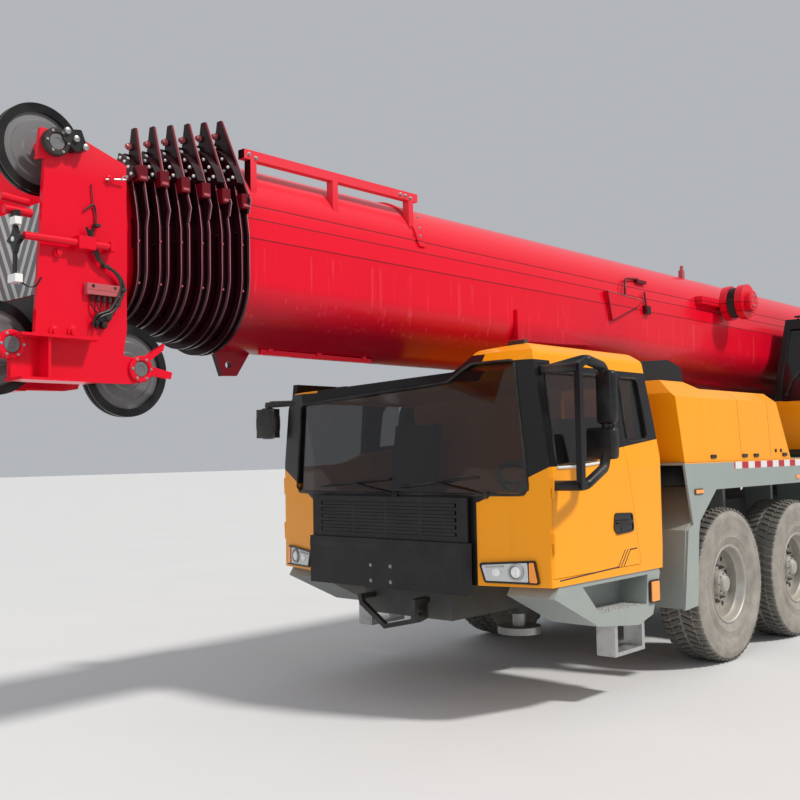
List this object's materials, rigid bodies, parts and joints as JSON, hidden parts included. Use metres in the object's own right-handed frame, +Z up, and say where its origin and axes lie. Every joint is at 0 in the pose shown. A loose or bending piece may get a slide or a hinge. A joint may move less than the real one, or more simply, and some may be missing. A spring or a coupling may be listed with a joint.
{
  "type": "mobile crane",
  "caption": "Truck-mounted telescopic crane with steered wheels, extending outriggers, slewing superstructure and a boom that luffs and telescopes.",
  "frame": {"origin": "on the road, midway along and across the crane", "axes": "+X is the carrier's front, +Y its left side, +Z up"},
  "size_m": [14.7994, 3.32, 4.0283],
  "materials": {
    "chassis_grey": "satin",
    "deck_grey": "satin",
    "cab_orange": "gloss",
    "boom_red": "gloss",
    "dark_panel": "satin",
    "interior_grey": "matte",
    "tinted_glass": "clear",
    "lamp_lens": "clear",
    "tyre_rubber": "dusty",
    "wheel_steel": "dusty",
    "running_gear": "oily",
    "jack_steel": "satin",
    "turntable_grey": "satin",
    "counterweight_paint": "satin",
    "winch_black": "satin",
    "rod_chrome": "polished"
  },
  "bodies": {
    "carrier": {"chassis_frame": "chassis_grey", "deck_and_mudguards": "deck_grey", "engine_hood": "cab_orange", "cab_shell": "cab_orange", "cab_glass": "tinted_glass", "cab_interior": "interior_grey", "front_panel": "dark_panel", "cab_fittings": "dark_panel", "lamps": "lamp_lens", "axles_and_drivetrain": "running_gear"},
    "knuckle_1_left": {"axle_1_knuckle_left": "running_gear"},
    "wheel_1_left": {"axle_1_tyre_left": "tyre_rubber", "axle_1_rim_left": "wheel_steel"},
    "knuckle_1_right": {"axle_1_knuckle_right": "running_gear"},
    "wheel_1_right": {"axle_1_tyre_right": "tyre_rubber", "axle_1_rim_right": "wheel_steel"},
    "knuckle_2_left": {"axle_2_knuckle_left": "running_gear"},
    "wheel_2_left": {"axle_2_tyre_left": "tyre_rubber", "axle_2_rim_left": "wheel_steel"},
    "knuckle_2_right": {"axle_2_knuckle_right": "running_gear"},
    "wheel_2_right": {"axle_2_tyre_right": "tyre_rubber", "axle_2_rim_right": "wheel_steel"},
    "wheel_3_left": {"axle_3_tyre_left": "tyre_rubber", "axle_3_rim_left": "wheel_steel"},
    "wheel_3_right": {"axle_3_tyre_right": "tyre_rubber", "axle_3_rim_right": "wheel_steel"},
    "wheel_4_left": {"axle_4_tyre_left": "tyre_rubber", "axle_4_rim_left": "wheel_steel"},
    "wheel_4_right": {"axle_4_tyre_right": "tyre_rubber", "axle_4_rim_right": "wheel_steel"},
    "cab_door_left": {"cab_door_left": "cab_orange", "cab_door_left_glass": "tinted_glass"},
    "cab_door_right": {"cab_door_right": "cab_orange", "cab_door_right_glass": "tinted_glass"},
    "outrigger_beam_front_left": {"outrigger_beam_front_left": "deck_grey"},
    "outrigger_jack_front_left": {"outrigger_jack_front_left": "jack_steel"},
    "outrigger_beam_front_right": {"outrigger_beam_front_right": "deck_grey"},
    "outrigger_jack_front_right": {"outrigger_jack_front_right": "jack_steel"},
    "outrigger_beam_rear_left": {"outrigger_beam_rear_left": "deck_grey"},
    "outrigger_jack_rear_left": {"outrigger_jack_rear_left": "jack_steel"},
    "outrigger_beam_rear_right": {"outrigger_beam_rear_right": "deck_grey"},
    "outrigger_jack_rear_right": {"outrigger_jack_rear_right": "jack_steel"},
    "front_jack": {"front_jack": "jack_steel"},
    "superstructure": {"turntable_frame": "turntable_grey", "counterweight": "counterweight_paint", "operator_cab_shell": "cab_orange", "operator_cab_glass": "tinted_glass"},
    "operator_door": {"operator_cab_door": "cab_orange", "operator_cab_door_glass": "tinted_glass"},
    "winch": {"winch_drum": "winch_black"},
    "boom_base": {"boom_base_section": "boom_red"},
    "luffing_barrel": {"luffing_cylinder_barrel": "boom_red"},
    "luffing_rod": {"luffing_cylinder_rod": "rod_chrome"},
    "boom_stage_1": {"boom_section_1": "boom_red"},
    "boom_stage_2": {"boom_section_2": "boom_red"},
    "boom_stage_3": {"boom_section_3": "boom_red"},
    "boom_stage_4": {"boom_section_4": "boom_red"},
    "boom_stage_5": {"boom_section_5": "boom_red"},
    "boom_stage_6": {"boom_section_6_with_head": "boom_red", "boom_head_sheaves": "winch_black"}
  },
  "joints": [
    {"name": "steer_1_left", "type": "hinge", "parent": "carrier", "child": "knuckle_1_left", "pos_m": [0.95, 1.02, 0.68], "axis": [0, 0, 1], "range_deg": [-32, 32]},
    {"name": "spin_1_left", "type": "hinge", "parent": "knuckle_1_left", "child": "wheel_1_left", "pos_m": [0.95, 1.165, 0.68], "axis": [0, 1, 0], "continuous": true},
    {"name": "steer_1_right", "type": "hinge", "parent": "carrier", "child": "knuckle_1_right", "pos_m": [0.95, -1.02, 0.68], "axis": [0, 0, 1], "range_deg": [-32, 32]},
    {"name": "spin_1_right", "type": "hinge", "parent": "knuckle_1_right", "child": "wheel_1_right", "pos_m": [0.95, -1.165, 0.68], "axis": [0, 1, 0], "continuous": true},
    {"name": "steer_2_left", "type": "hinge", "parent": "carrier", "child": "knuckle_2_left", "pos_m": [-0.61, 1.02, 0.68], "axis": [0, 0, 1], "range_deg": [-23, 23]},
    {"name": "spin_2_left", "type": "hinge", "parent": "knuckle_2_left", "child": "wheel_2_left", "pos_m": [-0.61, 1.165, 0.68], "axis": [0, 1, 0], "continuous": true},
    {"name": "steer_2_right", "type": "hinge", "parent": "carrier", "child": "knuckle_2_right", "pos_m": [-0.61, -1.02, 0.68], "axis": [0, 0, 1], "range_deg": [-23, 23]},
    {"name": "spin_2_right", "type": "hinge", "parent": "knuckle_2_right", "child": "wheel_2_right", "pos_m": [-0.61, -1.165, 0.68], "axis": [0, 1, 0], "continuous": true},
    {"name": "spin_3_left", "type": "hinge", "parent": "carrier", "child": "wheel_3_left", "pos_m": [-4.26, 1.165, 0.68], "axis": [0, 1, 0], "continuous": true},
    {"name": "spin_3_right", "type": "hinge", "parent": "carrier", "child": "wheel_3_right", "pos_m": [-4.26, -1.165, 0.68], "axis": [0, 1, 0], "continuous": true},
    {"name": "spin_4_left", "type": "hinge", "parent": "carrier", "child": "wheel_4_left", "pos_m": [-5.68, 1.165, 0.68], "axis": [0, 1, 0], "continuous": true},
    {"name": "spin_4_right", "type": "hinge", "parent": "carrier", "child": "wheel_4_right", "pos_m": [-5.68, -1.165, 0.68], "axis": [0, 1, 0], "continuous": true},
    {"name": "cab_door_left_hinge", "type": "hinge", "parent": "carrier", "child": "cab_door_left", "pos_m": [3.772, 1.386, 1.7], "axis": [0, 0, -1], "range_deg": [0, 70]},
    {"name": "cab_door_right_hinge", "type": "hinge", "parent": "carrier", "child": "cab_door_right", "pos_m": [3.772, -1.386, 1.7], "axis": [0, 0, 1], "range_deg": [0, 70]},
    {"name": "outrigger_slide_front_left", "type": "slide", "parent": "carrier", "child": "outrigger_beam_front_left", "axis": [0, 1, 0], "range_m": [0, 1.8]},
    {"name": "jack_slide_front_left", "type": "slide", "parent": "outrigger_beam_front_left", "child": "outrigger_jack_front_left", "axis": [0, 0, -1], "range_m": [0, 0.6]},
    {"name": "outrigger_slide_front_right", "type": "slide", "parent": "carrier", "child": "outrigger_beam_front_right", "axis": [0, -1, 0], "range_m": [0, 1.8]},
    {"name": "jack_slide_front_right", "type": "slide", "parent": "outrigger_beam_front_right", "child": "outrigger_jack_front_right", "axis": [0, 0, -1], "range_m": [0, 0.6]},
    {"name": "outrigger_slide_rear_left", "type": "slide", "parent": "carrier", "child": "outrigger_beam_rear_left", "axis": [0, 1, 0], "range_m": [0, 1.8]},
    {"name": "jack_slide_rear_left", "type": "slide", "parent": "outrigger_beam_rear_left", "child": "outrigger_jack_rear_left", "axis": [0, 0, -1], "range_m": [0, 0.6]},
    {"name": "outrigger_slide_rear_right", "type": "slide", "parent": "carrier", "child": "outrigger_beam_rear_right", "axis": [0, -1, 0], "range_m": [0, 1.8]},
    {"name": "jack_slide_rear_right", "type": "slide", "parent": "outrigger_beam_rear_right", "child": "outrigger_jack_rear_right", "axis": [0, 0, -1], "range_m": [0, 0.6]},
    {"name": "front_jack_slide", "type": "slide", "parent": "carrier", "child": "front_jack", "axis": [0, 0, -1], "range_m": [0, 0.4]},
    {"name": "slew", "type": "hinge", "parent": "carrier", "child": "superstructure", "pos_m": [-4.1, 0, 1.72], "axis": [0, 0, 1], "continuous": true},
    {"name": "operator_door_slide", "type": "slide", "parent": "superstructure", "child": "operator_door", "axis": [-1, 0, 0], "range_m": [0, 0.62]},
    {"name": "winch_turn", "type": "hinge", "parent": "superstructure", "child": "winch", "pos_m": [-6.43, 0, 2.38], "axis": [0, 1, 0], "continuous": true},
    {"name": "boom_luff", "type": "hinge", "parent": "superstructure", "child": "boom_base", "pos_m": [-5.75, 0, 3], "axis": [0, -1, 0], "range_deg": [0, 78]},
    {"name": "cylinder_foot", "type": "hinge", "parent": "superstructure", "child": "luffing_barrel", "pos_m": [-3.95, 0, 1.99], "axis": [0, -1, 0], "range_deg": [0, 84.6]},
    {"name": "cylinder_stroke", "type": "slide", "parent": "luffing_barrel", "child": "luffing_rod", "axis": [0.9924, 0, 0.1233], "range_m": [0, 2.555]},
    {"name": "telescope_1", "type": "slide", "parent": "boom_base", "child": "boom_stage_1", "axis": [1, 0, 0], "range_m": [0, 7.6]},
    {"name": "telescope_2", "type": "slide", "parent": "boom_stage_1", "child": "boom_stage_2", "axis": [1, 0, 0], "range_m": [0, 7.6]},
    {"name": "telescope_3", "type": "slide", "parent": "boom_stage_2", "child": "boom_stage_3", "axis": [1, 0, 0], "range_m": [0, 7.6]},
    {"name": "telescope_4", "type": "slide", "parent": "boom_stage_3", "child": "boom_stage_4", "axis": [1, 0, 0], "range_m": [0, 7.6]},
    {"name": "telescope_5", "type": "slide", "parent": "boom_stage_4", "child": "boom_stage_5", "axis": [1, 0, 0], "range_m": [0, 7.6]},
    {"name": "telescope_6", "type": "slide", "parent": "boom_stage_5", "child": "boom_stage_6", "axis": [1, 0, 0], "range_m": [0, 7.6]}
  ],
  "couplings": [
    {"joint": "steer_1_right", "follows": "steer_1_left", "ratio": 1},
    {"joint": "steer_2_left", "follows": "steer_1_left", "ratio": 0.7},
    {"joint": "steer_2_right", "follows": "steer_1_left", "ratio": 0.7},
    {"joint": "cylinder_foot", "follows": "boom_luff", "ratio": 1.0821},
    {"joint": "cylinder_stroke", "follows": "boom_luff", "m_per_rad": 1.8734},
    {"joint": "telescope_2", "follows": "telescope_1", "ratio": 1},
    {"joint": "telescope_3", "follows": "telescope_1", "ratio": 1},
    {"joint": "telescope_4", "follows": "telescope_1", "ratio": 1},
    {"joint": "telescope_5", "follows": "telescope_1", "ratio": 1},
    {"joint": "telescope_6", "follows": "telescope_1", "ratio": 1}
  ]
}
